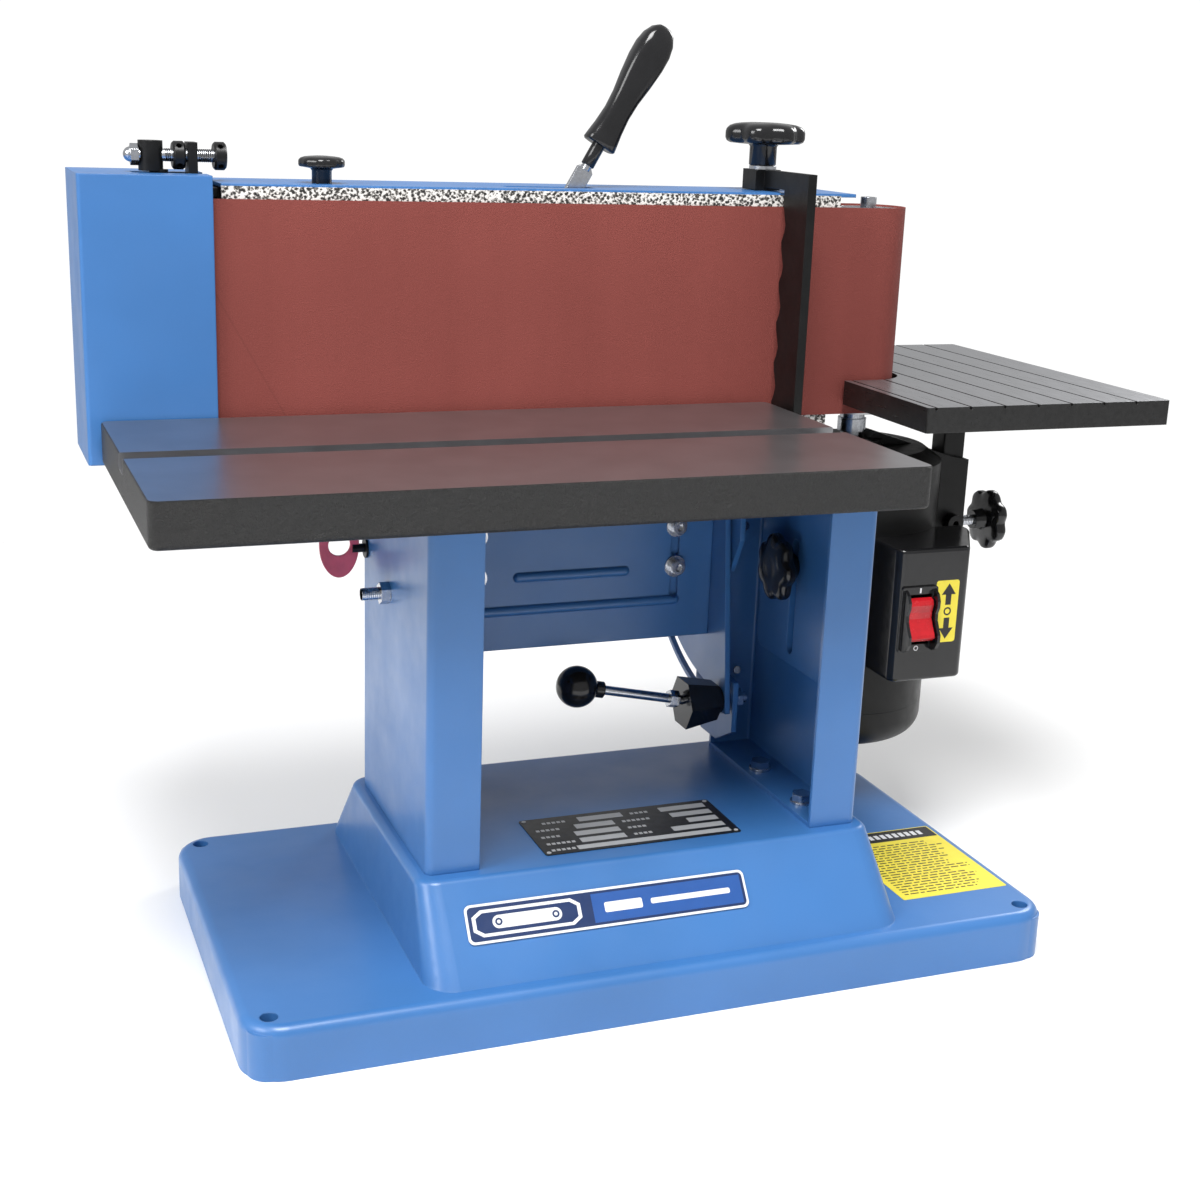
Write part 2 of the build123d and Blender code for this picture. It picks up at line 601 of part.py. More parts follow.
def motor_shaft():
    s = rod_z(SHAFT_R, 98, 488, DRIVE_X, AXIS_Y) + rod_z(11, 322, 332, DRIVE_X, AXIS_Y)
    s += rod_z(9.5, 332, 338.5, DRIVE_X, AXIS_Y)
    return s - rod_z(3, 476, 490, DRIVE_X, AXIS_Y)


def drum_screw():
    s = rod_z(3, 478, 494, DRIVE_X, AXIS_Y) + rod_z(9, 488, 490.5, DRIVE_X, AXIS_Y)
    s += rod_z(6, 490, 499, DRIVE_X, AXIS_Y)
    return s - hex_z(5, 495, 500, DRIVE_X, AXIS_Y)


def rotor_core():
    return rod_z(37.8, 150, 250, DRIVE_X, AXIS_Y) - rod_z(SHAFT_R, 149, 251, DRIVE_X, AXIS_Y)


def cooling_fan():
    f = rod_z(14, 97, 108, DRIVE_X, AXIS_Y) + rod_z(52, 106, 108, DRIVE_X, AXIS_Y)
    for i in range(8):
        blade = block(12, 50, -1, 1, 95, 107)
        f += Pos(DRIVE_X, AXIS_Y, 0) * Rot(0, 0, 45 * i) * blade
    return f - rod_z(SHAFT_R, 90, 110, DRIVE_X, AXIS_Y)


# ========================================================= idler, tension
def idler_carriage():
    """Yoke in front of the idler drum, push rod and tracking bracket."""
    c = block(-240, -228, 116, 140, 326, 498.5)
    c += block(-286, -228, 118, 138, 492.2, 498.5) + block(-286, -228, 118, 138, 328, 334)
    c += rod_x(6, -229, LEVER_X - 19.5, AXIS_Y, ROD_Z)
    c += block(-257.7, -251.7, 120, 136, 497, TRACK_Z + 8.5)
    c -= rod_z(6, 320, 500, IDLER_X, AXIS_Y)
    return c - rod_x(4.5, -260, -249, AXIS_Y, TRACK_Z)


def idler_axle():
    """Axle of the idler drum with the tracking post on its upper end."""
    a = rod_z(6, 325, 509, IDLER_X, AXIS_Y) + rod_z(7.8, 508, TRACK_Z + 9, TRACK_POST_X, AXIS_Y)
    return a - rod_x(4, -292, -262, AXIS_Y, TRACK_Z)


def tracking_rod():
    nut = TRACK_POST_X - 7.8
    r = rod_x(4, nut - 1, -232.7, AXIS_Y, TRACK_Z) + hex_x(12, nut - 5, nut, AXIS_Y, TRACK_Z)
    return r + Pos(nut - 4.6, AXIS_Y, TRACK_Z) * Sphere(4.8)


def idler_drum():
    d = rod_z(DRUM_R, 338.5, 490.5, IDLER_X, AXIS_Y) - rod_z(DRUM_R - 5, 348.6, 480.4, IDLER_X, AXIS_Y)
    for z0, z1 in ((337, 348.6), (480.4, 492)):
        d -= rod_z(14, z0, z1, IDLER_X, AXIS_Y)
    return d - rod_z(10, 330, 495, IDLER_X, AXIS_Y)


def idler_bearings():
    solids = []
    for z0 in (339.6, 480.4):
        z1 = z0 + 9
        b = rod_z(14, z0, z1, IDLER_X, AXIS_Y) - rod_z(6.06, z0 - 1, z1 + 1, IDLER_X, AXIS_Y)
        solids.append(b)
    return Compound(children=solids)


def capstan_knob(x0):
    """Round thumb nut, 8 thick, with four cross holes."""
    k = rod_x(9, x0, x0 + 8, AXIS_Y, TRACK_Z)
    k = chamfer(k.edges().filter_by(GeomType.CIRCLE), 1.2)
    k -= rod_x(4.07, x0 - 1, x0 + 9, AXIS_Y, TRACK_Z)
    for i in range(4):
        k -= Pos(x0 + 4, AXIS_Y, TRACK_Z) * Rot(45 + 90 * i, 0, 0) * Pos(0, 0, 7.6) * Cylinder(1.9, 4)
    return k


def along_lever(s, w=0.0):
    """Point s up the tension lever and w across it, in x and z."""
    a = math.radians(LEVER_LEAN)
    return (LEVER_X + s * math.sin(a) + w * math.cos(a), ROD_Z + s * math.cos(a) - w * math.sin(a))


def tension_lever():
    """Flat lever with an eccentric at the foot, leaning toward the drive end."""
    outline = [(0, -6), (51, -6), (54, -3), (54, 3), (51, 6), (0, 6)]
    lever = plate_xz([along_lever(s, w) for s, w in outline], 126, 130)
    lever += rod_y(12, 124, 132, LEVER_X - 6, ROD_Z)
    x, z = along_lever(66)
    lever += Pos(x, AXIS_Y, z) * Rot(0, LEVER_LEAN, 0) * Cylinder(3.2, 30)
    return lever - rod_y(4.06, 120, 136, LEVER_X, ROD_Z)


def lever_grip():
    """Moulded grip with its sleeve, pushed on the stem of the lever."""
    x, z = along_lever(70.5)
    profile = make_face(
        Polyline((0, -16.2), (4.6, -16.2), (4.6, 0), (10.5, 0), (12.5, 4))
        + Spline((12.5, 4), (11.5, 31), (12.2, 60), (13, 81))
        + Spline((13, 81), (10, 91.5), (0, 95.5)) + Line((0, 95.5), (0, -16.2)))
    grip = revolve(Plane.XZ * profile, Axis.Z)
    grip -= Pos(0, 0, -3) * Cylinder(3.2, 27.4)
    return Pos(x, AXIS_Y, z) * Rot(0, LEVER_LEAN, 0) * grip


# ========================================================== work stop
def work_stop():
    """Upright stop in front of the belt, its back edge scalloped, hooked over the cover."""
    pts = [(60, 342.5), (84, 342.5)]
    for i in range(5):
        z = 346 + 29 * i
        pts += [(95.5, z), (96.5, z + 6), (93.0, z + 12), (91.5, z + 18), (93.5, z + 24)]
    pts += [(96.5, 494), (96.5, 504.5), (151, 504.5), (151, 517), (60, 517)]
    s = plate_yz(pts, STOP_X - 3, STOP_X + 3.5)
    s += block(STOP_X - 10, STOP_X + 10, 130, 152, 502.4, 517)
    return s - rod_z(4.2, 500, 520, STOP_X, STOP_Y)


def stop_stud():
    """T-bolt of the work stop with its washer."""
    s = rod_z(4, 493, 534, STOP_X, STOP_Y) + block(STOP_X - 7, STOP_X + 7, 130, 146, 491, 495.2)
    return s + rod_z(10, 517, 519.5, STOP_X, STOP_Y)


def stop_knob():
    return Pos(STOP_X, STOP_Y, 519.8) * star_knob(30, 15.5, 11, 15, 4.06, 17)


def cover_knob():
    """Low round knob with ten shallow flutes on a threaded stem."""
    head = Pos(0, 0, 14.6) * Cylinder(15.5, 7.6)
    for i in range(10):
        a = 2 * math.pi * i / 10
        head -= Pos(17.2 * math.cos(a), 17.2 * math.sin(a), 14.6) * Cylinder(3, 9)
    head = fillet(head.edges().group_by(Axis.Z)[-1], 1.5)
    k = head + Pos(0, 0, 5.4) * Cylinder(6.6, 10.8) + Pos(0, 0, -5) * Cylinder(3, 11)
    return Pos(COVER_KNOB_X, COVER_KNOB_Y, COVER_TOP + 0.3) * k


# ========================================================== end table
def aux_table():
    """Grooved end table, ribbed below, notched round the drive drum."""
    z0 = AUX_TOP - AUX_T
    t = block(AUX_X0, AUX_X1, AUX_Y0, AUX_Y1, z0, AUX_TOP)
    t = fillet(t.edges().filter_by(Axis.Z), 2)
    cut = block(AUX_X0 - 2, DRIVE_X, 96, 160, z0 - 1, AUX_TOP + 1)
    cut += rod_z(32, z0 - 1, AUX_TOP + 1, DRIVE_X, AXIS_Y)
    for i in range(7):
        x = AUX_X0 + 6.5 + 27.9 * i
        t -= block(x - 0.9, x + 0.9, AUX_Y0 - 1, AUX_Y1 + 1, AUX_TOP - 2, AUX_TOP + 1)
    for x0, x1 in ((284, 346), (350, 412)):
        for y0, y1 in ((-18, 40), (46, 98), (162, 212), (218, 266)):
            t -= block(x0, x1, y0, y1, z0 - 1, AUX_TOP - 6)
    for y0, y1 in ((-18, 40), (46, 88), (168, 212), (218, 266)):
        t -= block(228, 280, y0, y1, z0 - 1, AUX_TOP - 6)
    return t - cut


def aux_post():
    """Square bar with a flange under the end table."""
    z_top = AUX_TOP - AUX_T
    w = POST_W / 2
    p = block(POST_X - w, POST_X + w, POST_Y - w, POST_Y + w, SOCKET_Z0 + 1, z_top)
    p = fillet(p.edges().filter_by(Axis.Z), 1.5)
    p += block(POST_X - 24, POST_X + 24, POST_Y - 24, POST_Y + 24, z_top - 5, z_top)
    return p


def aux_knob():
    """Star knob with the clamp screw of the post socket."""
    k = star_knob(24, 13, 8, 7, 0, 0)
    k += Pos(0, 0, -10) * Cylinder(4, 21)
    return Pos(POST_X + 31, POST_Y, AUX_SCREW_Z) * Rot(0, 90, 0) * k


# ==================================================== tilt lock lever
def tilt_root():
    """Place and direction of the tilt lock arm."""
    y, z = polar(ARC_R, LOCK_ANGLE)
    return Pos(76, y, z + 2) * Rot(0, -TILT_LEAN, 0)


def tilt_arm():
    """Threaded arm screwed into the hub, with its lock nut."""
    arm = tilt_root() * Pos(0, 0, 34) * Cylinder(3.4, 76)
    return arm + tilt_root() * Pos(0, 0, 5) * extrude(RegularPolygon(6.5, 6), 7)


def tilt_hub():
    """Six-sided tapered clamping hub on the lock stud."""
    y, z = polar(ARC_R, LOCK_ANGLE)
    big = Plane.YZ.offset(75) * Pos(y, z) * RegularPolygon(20, 6)
    small = Plane.YZ.offset(101) * Pos(y, z) * RegularPolygon(15, 6)
    hub = loft([big, small]) + rod_x(10, 100, 104.7, y, z)
    return hub - rod_x(STUD_D / 2 + 0.06, 83, 106, y, z) - tilt_arm()


def tilt_ball():
    ball = tilt_root() * Pos(0, 0, TILT_REACH) * Sphere(15)
    ball += tilt_root() * Pos(0, 0, TILT_REACH - 15) * Cylinder(6, 10)
    return ball - tilt_arm()


NODES = {
    "base_casting": base_casting, "pillar_right": pillar, "pillar_left": pillar_left,
    "foot_bolts": foot_bolts, "ear_plate_right": ear_plate, "ear_plate_left": ear_plate_left,
    "lock_plate": lock_plate, "plate_screws": plate_screws, "clamp_studs": clamp_studs,
    "pivot_bolts": pivot_bolts, "pin_housing": pin_housing,
    "index_pin": index_pin, "pull_tab": pull_tab,
    "main_table": main_table, "table_leg_right": table_leg,
    "table_leg_left": lambda: mirror_x(table_leg()),
    "table_knob_right": table_knob, "table_knob_left": lambda: mirror_x(table_knob()),
    "side_plate_right": side_plate, "side_plate_left": side_plate_left,
    "cross_panel": cross_panel, "panel_screws": panel_screws, "platen_frame": platen_frame,
    "graphite_pad": graphite_pad, "abrasive_belt": abrasive_belt, "end_guard": end_guard,
    "top_cover": top_cover, "motor_mount": motor_mount, "motor_shell": motor_shell,
    "motor_end_cover": motor_end_cover, "stator_core": stator_core,
    "stator_windings": stator_windings, "motor_bearings": motor_bearings,
    "switch_box": switch_box, "switch_bezel": switch_bezel, "switch_rocker": switch_rocker,
    "drive_drum": drive_drum, "motor_shaft": motor_shaft,
    "drum_screw": drum_screw, "rotor_core": rotor_core, "cooling_fan": cooling_fan,
    "idler_carriage": idler_carriage, "idler_axle": idler_axle, "tracking_rod": tracking_rod,
    "idler_drum": idler_drum, "idler_bearings": idler_bearings,
    "tracking_knob": lambda: capstan_knob(-267),
    "tracking_lock_knob": lambda: capstan_knob(-240.7),
    "tension_lever": tension_lever, "lever_grip": lever_grip,
    "work_stop": work_stop, "stop_stud": stop_stud, "stop_knob": stop_knob,
    "cover_knob": cover_knob, "aux_table": aux_table, "aux_post": aux_post,
    "aux_knob": aux_knob, "tilt_hub": tilt_hub, "tilt_arm": tilt_arm, "tilt_ball": tilt_ball,
}

for name, make in NODES.items():
    save(make(), name)
    print(name)
print(len(NODES))
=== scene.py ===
import json
import math
import random

import bmesh
import bpy
from mathutils import Matrix, Vector


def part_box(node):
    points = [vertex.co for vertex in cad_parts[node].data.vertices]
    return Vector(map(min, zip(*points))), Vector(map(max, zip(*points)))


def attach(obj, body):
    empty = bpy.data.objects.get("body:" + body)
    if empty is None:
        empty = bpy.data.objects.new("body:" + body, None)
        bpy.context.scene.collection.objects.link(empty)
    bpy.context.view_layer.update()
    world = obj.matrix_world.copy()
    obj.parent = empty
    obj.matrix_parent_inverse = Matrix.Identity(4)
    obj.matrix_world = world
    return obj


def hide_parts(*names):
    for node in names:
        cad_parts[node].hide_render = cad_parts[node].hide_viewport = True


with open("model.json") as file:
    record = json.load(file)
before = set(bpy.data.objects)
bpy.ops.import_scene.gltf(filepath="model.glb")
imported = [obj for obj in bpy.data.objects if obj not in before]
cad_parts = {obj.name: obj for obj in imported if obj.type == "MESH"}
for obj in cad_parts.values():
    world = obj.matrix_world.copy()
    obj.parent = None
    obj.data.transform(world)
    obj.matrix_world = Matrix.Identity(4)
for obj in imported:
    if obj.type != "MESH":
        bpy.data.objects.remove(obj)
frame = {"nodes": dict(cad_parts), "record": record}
nodes = frame["nodes"]
random.seed(7)
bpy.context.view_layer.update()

# Places in the frame that the finishes and the added pieces follow, in mm.
MM = 0.001
AXIS_Y = 128.0                          # middle plane of the drums and the head
SLOT_MID_Y = -19.7                      # mitre slot of the main table
SLOT_HALF = 9.8
SLOT_FLOOR_Z = 342.4
END_TABLE_FACE_Z = 365.5                # just below the end table's top
PLINTH_TOP_Z = 90.0
FLANGE_TOP_Z = 35.0
PLINTH_SLOPE = (0, 44, 57)              # direction up the front of the plinth
SWITCH_X = 249.0
SWITCH_Z = 201.0
BEZEL_FACE_Y = 12.6
STUD_Y = 12.0                           # clamp studs of the main table
STUD_Z = 249.0
END_SCREW_Z = 244.0                     # clamp screw of the end table
TRACKING_Z = 518.0                      # tracking rod on top of the cover
LEVER_PIVOT = (-8.0, AXIS_Y, 470.0)
LEVER_LEAN = math.radians(30.0)         # from upright, toward the drive drum
GRIP_FOOT = 70.5                        # up the lever from its pivot
SLEEVE_L = 16.0                         # sleeve below the foot of the grip
SLEEVE_R = 4.8

UP = (0, 0, 1)
RIGHT = (1, 0, 0)
LEFT = (-1, 0, 0)


# ------------------------------------------------------------ node helpers
class Shader:
    """A small builder round one material's node tree."""

    def __init__(self, name):
        self.mat = bpy.data.materials.new(name)
        self.mat.use_nodes = True
        self.tree = self.mat.node_tree
        self.bsdf = self.tree.nodes["Principled BSDF"]
        self.coords = self.add("ShaderNodeTexCoord").outputs["Object"]

    def add(self, kind, **values):
        node = self.tree.nodes.new(kind)
        for key, value in values.items():
            setattr(node, key, value)
        return node

    def link(self, a, b):
        self.tree.links.new(a, b)

    def stretch(self, scale):
        """Object coordinates, scaled along each axis."""
        mapping = self.add("ShaderNodeMapping")
        mapping.inputs["Scale"].default_value = scale
        self.link(self.coords, mapping.inputs["Vector"])
        return mapping.outputs["Vector"]

    def noise(self, scale, detail=4.0, rough=0.55, stretch=(1, 1, 1)):
        node = self.add("ShaderNodeTexNoise")
        node.inputs["Scale"].default_value = scale
        node.inputs["Detail"].default_value = detail
        node.inputs["Roughness"].default_value = rough
        self.link(self.stretch(stretch), node.inputs["Vector"])
        return node.outputs["Fac"]

    def voronoi(self, scale, stretch=(1, 1, 1)):
        node = self.add("ShaderNodeTexVoronoi")
        node.inputs["Scale"].default_value = scale
        self.link(self.stretch(stretch), node.inputs["Vector"])
        return node

    def ramp(self, fac, stops):
        """Colour from a list of (place, colour) stops."""
        node = self.add("ShaderNodeValToRGB")
        while len(node.color_ramp.elements) < len(stops):
            node.color_ramp.elements.new(0.5)
        for element, (place, colour) in zip(node.color_ramp.elements, stops):
            element.position = place
            element.color = (*colour, 1.0)
        self.link(fac, node.inputs["Fac"])
        return node.outputs["Color"]

    def span(self, fac, low, high, out_low, out_high):
        """A number from low..high spread over out_low..out_high."""
        node = self.add("ShaderNodeMapRange")
        for key, value in (("From Min", low), ("From Max", high),
                           ("To Min", out_low), ("To Max", out_high)):
            node.inputs[key].default_value = value
        self.link(fac, node.inputs["Value"])
        return node.outputs["Result"]

    def mix(self, fac, a, b):
        """Blend of two colours, each of them, and the factor, a socket or a plain value."""
        node = self.add("ShaderNodeMix", data_type="RGBA")
        for value, socket in ((fac, node.inputs[0]), (a, node.inputs[6]), (b, node.inputs[7])):
            if isinstance(value, (float, int)):
                socket.default_value = value if socket == node.inputs[0] else (value, value, value, 1.0)
            elif isinstance(value, tuple):
                socket.default_value = (*value, 1.0)
            else:
                self.link(value, socket)
        return node.outputs[2]

    def math(self, op, a, b=0.0):
        node = self.add("ShaderNodeMath", operation=op)
        for value, socket in ((a, node.inputs[0]), (b, node.inputs[1])):
            if isinstance(value, (float, int)):
                socket.default_value = value
            else:
                self.link(value, socket)
        return node.outputs[0]

    def facing_up(self):
        """1 where the surface faces up in the world, 0 elsewhere."""
        normal = self.add("ShaderNodeNewGeometry").outputs["Normal"]
        return self.math("GREATER_THAN", self.axis(normal, "Z"), 0.9)

    def axis(self, source, name):
        node = self.add("ShaderNodeSeparateXYZ")
        self.link(source, node.inputs[0])
        return node.outputs[name]

    def bump(self, height, distance, strength=0.5, bevel=0.0):
        """Relief of the surface, on top of softened edges where bevel is given."""
        node = self.add("ShaderNodeBump")
        node.inputs["Distance"].default_value = distance
        node.inputs["Strength"].default_value = strength
        self.link(height, node.inputs["Height"])
        if bevel:
            edge = self.add("ShaderNodeBevel", samples=4)
            edge.inputs["Radius"].default_value = bevel
            self.link(edge.outputs["Normal"], node.inputs["Normal"])
        self.link(node.outputs["Normal"], self.bsdf.inputs["Normal"])

    def set(self, **values):
        """Fills the shader's sockets, and returns the material."""
        for key, value in values.items():
            socket = self.bsdf.inputs[key.replace("_", " ")]
            if hasattr(value, "is_linked"):
                self.link(value, socket)
            elif isinstance(value, tuple):
                socket.default_value = (*value, 1.0)
            else:
                socket.default_value = value
        return self.mat


# --------------------------------------------------------------- materials
def enamel(name, colour):
    """Sprayed enamel: slight cloudiness, fine orange peel, softened edges."""
    s = Shader(name)
    light = tuple(min(1.0, c * 1.07) for c in colour)
    dark = tuple(c * 0.90 for c in colour)
    cloud = s.noise(6.0, 3.0)
    fine = s.noise(900.0, 2.0)
    base = s.mix(0.10, s.ramp(cloud, [(0.35, dark), (0.65, light)]),
                 s.ramp(fine, [(0.3, dark), (0.7, light)]))
    s.bump(s.noise(420.0, 2.0), 0.00003, 0.35, 0.0012)
    return s.set(Base_Color=base, Roughness=s.span(s.noise(30.0), 0.3, 0.7, 0.30, 0.44),
                 Coat_Weight=0.25, Coat_Roughness=0.22)


def cast_top():
    """Ground cast iron on top and in the slot, rough black paint on the cast sides and underside."""
    s = Shader("ground_iron")
    y = s.axis(s.coords, "Y")
    off_slot = s.math("ABSOLUTE", s.math("SUBTRACT", y, SLOT_MID_Y * MM))
    in_slot = s.math("LESS_THAN", off_slot, SLOT_HALF * MM)
    above_floor = s.math("GREATER_THAN", s.axis(s.coords, "Z"), SLOT_FLOOR_Z * MM)
    ground = s.math("MAXIMUM", s.facing_up(), s.math("MULTIPLY", in_slot, above_floor))
    lines = s.noise(900.0, 4.0, 0.6, (0.08, 1.0, 1.0))
    spots = s.noise(28.0, 4.0)
    metal = s.mix(0.5, s.ramp(lines, [(0.3, (0.30, 0.30, 0.31)), (0.7, (0.37, 0.37, 0.385))]),
                  s.ramp(spots, [(0.35, (0.30, 0.30, 0.31)), (0.65, (0.38, 0.38, 0.395))]))
    pits = s.noise(640.0, 6.0, 0.7)
    black = s.ramp(pits, [(0.35, (0.004, 0.004, 0.004)), (0.72, (0.014, 0.0135, 0.013))])
    lumps = s.math("ADD", s.noise(300.0, 8.0, 0.72), s.math("MULTIPLY", s.noise(90.0, 4.0), 0.6))
    height = s.math("MULTIPLY", lumps, s.math("SUBTRACT", 1.0, ground))
    s.bump(height, 0.0040, 1.0)
    rough = s.mix(ground, 0.42, s.span(lines, 0.3, 0.7, 0.29, 0.34))
    return s.set(Base_Color=s.mix(ground, black, metal), Metallic=s.math("MULTIPLY", ground, 0.92),
                 Roughness=rough)


def black_coat(name, rough, grain, depth, tone, bevel):
    """Dull black finish, paint or oxide, with a fine grain."""
    s = Shader(name)
    low = (tone * 0.7, tone * 0.7, tone * 0.72)
    high = (tone * 1.5, tone * 1.5, tone * 1.55)
    s.bump(s.noise(grain, 4.0, 0.6), depth, 0.5, bevel)
    return s.set(Base_Color=s.ramp(s.noise(40.0, 3.0), [(0.3, low), (0.7, high)]),
                 Roughness=s.span(s.noise(120.0), 0.3, 0.7, *rough), Specular_IOR_Level=0.28)


def metal(name, colour, rough, lines=(1, 1, 1)):
    """Bare metal, its grain drawn out along the axes where lines is small."""
    s = Shader(name)
    grain = s.noise(400.0, 4.0, 0.6, lines)
    low = tuple(c * 0.82 for c in colour)
    s.bump(grain, 0.00002, 0.4, 0.0005)
    return s.set(Base_Color=s.ramp(grain, [(0.3, low), (0.7, colour)]), Metallic=1.0,
                 Roughness=s.span(s.noise(50.0), 0.3, 0.7, *rough))


def abrasive_cloth():
    """Red-brown grit on cloth, faint vertical bands and one slanted joint."""
    s = Shader("abrasive")
    grit = s.voronoi(1900.0)
    fine = s.noise(1500.0, 4.0, 0.75)
    bands = s.noise(22.0, 3.0, 0.6, (1.0, 1.0, 0.06))
    patch = s.noise(9.0, 4.0)
    base = s.ramp(fine, [(0.30, (0.10, 0.019, 0.016)), (0.52, (0.23, 0.048, 0.039)),
                         (0.75, (0.40, 0.13, 0.108))])
    base = s.mix(0.35, base, s.ramp(bands, [(0.3, (0.19, 0.040, 0.032)), (0.7, (0.26, 0.060, 0.049))]))
    base = s.mix(0.25, base, s.ramp(patch, [(0.3, (0.195, 0.041, 0.033)), (0.7, (0.265, 0.062, 0.050))]))
    x = s.axis(s.coords, "X")
    z = s.axis(s.coords, "Z")
    along = s.math("ADD", x, s.math("MULTIPLY", z, 0.55))
    joint = s.math("LESS_THAN", s.math("ABSOLUTE", s.math("SUBTRACT", along, -0.008)), 0.0007)
    base = s.mix(s.math("MULTIPLY", joint, 0.22), base, (0.12, 0.026, 0.02))
    s.bump(s.math("ADD", grit.outputs["Distance"], fine), 0.0003, 0.75)
    return s.set(Base_Color=base, Roughness=s.span(fine, 0.3, 0.7, 0.62, 0.85), Specular_IOR_Level=0.35)


def graphite_cloth():
    """Coarse black and white flecked cloth."""
    s = Shader("graphite")
    fleck = s.noise(520.0, 3.0, 0.75, (1, 1, 1.3))
    cell = s.voronoi(430.0)
    mixed = s.math("ADD", s.math("MULTIPLY", fleck, 0.7), s.math("MULTIPLY", cell.outputs["Distance"], 0.35))
    colour = s.ramp(mixed, [(0.42, (0.010, 0.010, 0.010)), (0.51, (0.12, 0.11, 0.10)),
                            (0.57, (0.80, 0.78, 0.75))])
    s.bump(mixed, 0.0007, 0.9)
    return s.set(Base_Color=colour, Roughness=s.span(fleck, 0.3, 0.7, 0.55, 0.8))


def end_table_finish():
    """Satin metal top between the grooves, glossier black everywhere else."""
    s = Shader("black_table")
    high = s.math("GREATER_THAN", s.axis(s.coords, "Z"), END_TABLE_FACE_Z * MM)
    face = s.math("MULTIPLY", s.facing_up(), high)
    lines = s.noise(700.0, 4.0, 0.6, (1.0, 0.06, 1.0))
    top = s.ramp(lines, [(0.3, (0.27, 0.275, 0.29)), (0.7, (0.35, 0.355, 0.375))])
    side = s.ramp(s.noise(300.0, 4.0), [(0.3, (0.006, 0.006, 0.006)), (0.7, (0.014, 0.014, 0.014))])
    s.bump(s.noise(600.0, 4.0, 0.7), 0.00008, 0.5, 0.0008)
    return s.set(Base_Color=s.mix(face, side, top), Roughness=s.span(lines, 0.3, 0.7, 0.26, 0.36),
                 Metallic=s.math("MULTIPLY", face, 0.85), Coat_Weight=0.1, Coat_Roughness=0.3)


def plastic(name, colour, rough):
    """Moulded plastic with a fine grain and softened edges."""
    s = Shader(name)
    low = tuple(c * 0.8 for c in colour)
    high = tuple(min(1.0, c * 1.15) for c in colour)
    s.bump(s.noise(1200.0, 3.0), 0.00004, 0.4, 0.0006)
    return s.set(Base_Color=s.ramp(s.noise(60.0, 3.0), [(0.3, low), (0.7, high)]),
                 Roughness=s.span(s.noise(180.0), 0.3, 0.7, *rough))


def print_ink(name, colour, rough):
    """Printed film on a label: faint mottling, even sheen."""
    s = Shader(name)
    low = tuple(c * 0.92 for c in colour)
    s.bump(s.noise(800.0, 2.0), 0.00001, 0.2)
    return s.set(Base_Color=s.ramp(s.noise(90.0, 3.0), [(0.3, low), (0.7, colour)]),
                 Roughness=s.span(s.noise(200.0), 0.3, 0.7, rough * 0.85, rough * 1.15))


def laminated():
    """Stack of thin steel sheets, one over the other."""
    s = Shader("laminations")
    sheets = s.noise(1500.0, 1.0, 0.5, (0.02, 0.02, 1.0))
    s.bump(sheets, 0.0002, 0.7)
    return s.set(Base_Color=s.ramp(sheets, [(0.35, (0.10, 0.10, 0.11)), (0.65, (0.30, 0.30, 0.31))]),
                 Metallic=1.0, Roughness=s.span(sheets, 0.3, 0.7, 0.35, 0.55))


def windings():
    """Enamelled copper turns."""
    s = Shader("copper_wire")
    turns = s.noise(900.0, 2.0, 0.5, (1, 1, 0.15))
    s.bump(turns, 0.0006, 0.8)
    return s.set(Base_Color=s.ramp(turns, [(0.3, (0.18, 0.05, 0.02)), (0.7, (0.60, 0.24, 0.10))]),
                 Metallic=0.8, Roughness=s.span(turns, 0.3, 0.7, 0.3, 0.45))


BLUE = (0.044, 0.165, 0.425)
looks = {
    "blue_paint": enamel("blue_paint", BLUE),
    "ground_iron": cast_top(),
    "black_paint": black_coat("black_paint", (0.34, 0.46), 700.0, 0.00006, 0.005, 0.0008),
    "black_table": end_table_finish(),
    "black_plastic": plastic("black_plastic", (0.010, 0.010, 0.011), (0.12, 0.20)),
    "bright_steel": metal("bright_steel", (0.62, 0.64, 0.68), (0.16, 0.30)),
    "black_oxide": black_coat("black_oxide", (0.26, 0.36), 900.0, 0.00004, 0.008, 0.0005),
    "abrasive": abrasive_cloth(),
    "graphite": graphite_cloth(),
    "drum_alloy": metal("drum_alloy", (0.72, 0.73, 0.75), (0.25, 0.38), (1, 1, 8)),
    "red_plastic": plastic("red_plastic", (0.58, 0.012, 0.020), (0.20, 0.30)),
    "red_tab": plastic("red_tab", (0.62, 0.10, 0.17), (0.45, 0.6)),
    "copper_wire": windings(),
    "laminations": laminated(),
}
ink = {
    "white": print_ink("ink_white", (0.80, 0.81, 0.82), 0.4),
    "navy": print_ink("ink_navy", (0.010, 0.030, 0.110), 0.35),
    "bar_blue": print_ink("ink_bar_blue", (0.020, 0.090, 0.330), 0.35),
    "silver": print_ink("ink_silver", (0.45, 0.46, 0.47), 0.35),
    "black": print_ink("ink_black", (0.010, 0.010, 0.011), 0.35),
    "yellow": print_ink("ink_yellow", (0.88, 0.74, 0.06), 0.4),
}

for part in frame["record"]["subparts"]:
    mesh = nodes[part["node"]].data
    mesh.materials.clear()
    mesh.materials.append(looks[part["material_slot"]])


# ------------------------------------------------------------ mesh helpers

def settle(bm, name, body, materials, sharp=35.0):
    """Turns a bmesh into a smooth-shaded piece that rides on a body."""
    mesh = bpy.data.meshes.new(name)
    bmesh.ops.recalc_face_normals(bm, faces=bm.faces)
    bm.to_mesh(mesh)
    bm.free()
    for material in materials:
        mesh.materials.append(material)
    mesh.polygons.foreach_set("use_smooth", [True] * len(mesh.polygons))
    mesh.set_sharp_from_angle(angle=math.radians(sharp))
    piece = bpy.data.objects.new(name, mesh)
    bpy.context.scene.collection.objects.link(piece)
    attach(piece, body)
    return piece


